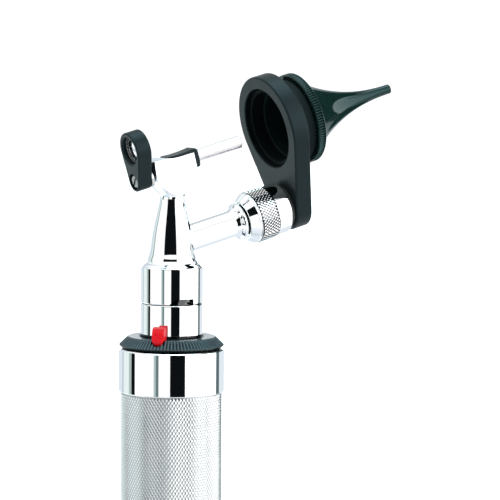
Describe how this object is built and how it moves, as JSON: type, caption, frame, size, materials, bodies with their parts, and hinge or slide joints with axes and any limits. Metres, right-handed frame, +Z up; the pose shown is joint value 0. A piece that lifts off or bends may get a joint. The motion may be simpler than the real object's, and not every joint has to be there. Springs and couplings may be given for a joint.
{
  "type": "otoscope",
  "caption": "Open operating otoscope head on a knurled battery handle, with a swivelling speculum holder, a swivelling magnifying lens, a light tube and a rheostat ring with a lock button.",
  "frame": {"origin": "centre of the end cap's flat base, on the handle's axis", "axes": "+Z up the handle, +X in the upright plane of the optical axis, towards the patient"},
  "size_m": [0.0848, 0.0294, 0.2053],
  "materials": {
    "chrome": "polished",
    "knurled_chrome": "polished, fine diamond knurl",
    "steel": "turned",
    "satin_steel": "satin",
    "spring_steel": "drawn wire",
    "brass": "turned",
    "ring_plastic": "satin, ribbed",
    "red_plastic": "gloss",
    "black_lacquer": "satin",
    "black_anodised": "black anodised, satin",
    "speculum_plastic": "gloss",
    "ivory_insulator": "moulded",
    "black_insulator": "moulded",
    "resistance_strip": "wound wire on card",
    "cell_sleeve": "printed shrink sleeve, plain",
    "bulb_glass": "clear",
    "lens_glass": "clear, polished",
    "fibre_glass": "fibre bundle"
  },
  "bodies": {
    "handle": {"grip_tube": "knurled_chrome", "upper_band": "chrome", "bayonet_neck": "chrome", "neck_insulator": "ivory_insulator", "battery_contact": "brass", "contact_carrier": "black_insulator", "resistor_track": "resistance_strip", "cell_lower": "cell_sleeve", "cell_upper": "cell_sleeve", "contact_spring": "spring_steel"},
    "cap_travel": {"battery_spring": "spring_steel"},
    "end_cap": {"end_cap": "chrome"},
    "rheostat_ring": {"rheostat_ring": "ring_plastic", "ring_wiper": "brass", "button_spring": "spring_steel"},
    "lock_button": {"lock_button": "red_plastic"},
    "contact_pin": {"contact_pin": "brass"},
    "head": {"head_body": "chrome", "arm": "chrome", "pivot_stud": "steel", "pivot_screw": "steel", "lamp_base": "brass", "lamp_bulb": "bulb_glass", "lamp_contact": "black_insulator", "fibre_bundle": "fibre_glass", "light_tube": "satin_steel", "light_shield": "black_lacquer", "lens_screw": "steel", "wave_washer": "steel"},
    "tension_nut": {"tension_nut": "chrome"},
    "speculum_holder": {"speculum_holder": "black_anodised", "pivot_bush": "brass", "speculum_seat": "black_anodised", "friction_washer": "black_insulator"},
    "speculum": {"speculum": "speculum_plastic"},
    "lens_holder": {"lens_holder": "black_anodised", "magnifier_lens": "lens_glass", "lens_ring": "steel"}
  },
  "joints": [
    {"name": "end_cap_advance", "type": "slide", "parent": "handle", "child": "cap_travel", "axis": [0, 0, -1], "range_m": [0, 0.005], "deforming": ["battery_spring"]},
    {"name": "end_cap_turn", "type": "hinge", "parent": "cap_travel", "child": "end_cap", "pos_m": [0, 0, 0], "axis": [0, 0, -1], "range_deg": [0, 1440]},
    {"name": "rheostat_turn", "type": "hinge", "parent": "handle", "child": "rheostat_ring", "pos_m": [0, 0, 0.1315], "axis": [0, 0, -1], "range_deg": [0, 110]},
    {"name": "lock_button_press", "type": "slide", "parent": "rheostat_ring", "child": "lock_button", "axis": [0, 0, -1], "range_m": [0, 0.001], "stiffness_N_per_m": 400, "springref_m": -0.002, "deforming": ["button_spring"]},
    {"name": "contact_pin_press", "type": "slide", "parent": "handle", "child": "contact_pin", "axis": [0, 0, -1], "range_m": [0, 0.0008], "stiffness_N_per_m": 400, "springref_m": -0.002, "deforming": ["contact_spring"]},
    {"name": "head_twist", "type": "hinge", "parent": "handle", "child": "head", "pos_m": [0, 0, 0.1424], "axis": [0, 0, -1], "range_deg": [0, 30]},
    {"name": "tension_nut_turn", "type": "hinge", "parent": "head", "child": "tension_nut", "pos_m": [0.02756, 0, 0.16599], "axis": [0.9659, 0, 0.2588], "range_deg": [-60, 60]},
    {"name": "holder_swivel", "type": "hinge", "parent": "head", "child": "speculum_holder", "pos_m": [0.03673, 0, 0.16845], "axis": [0.9659, 0, 0.2588], "continuous": true},
    {"name": "speculum_pull", "type": "slide", "parent": "speculum_holder", "child": "speculum", "axis": [0.9659, 0, 0.2588], "range_m": [0, 0.0045]},
    {"name": "lens_swivel", "type": "hinge", "parent": "head", "child": "lens_holder", "pos_m": [-0.00942, 0, 0.17648], "axis": [0.9659, 0, 0.2588], "range_deg": [-110, 110]}
  ],
  "couplings": [
    {"joint": "end_cap_advance", "follows": "end_cap_turn", "m_per_rad": 0.00019894}
  ]
}
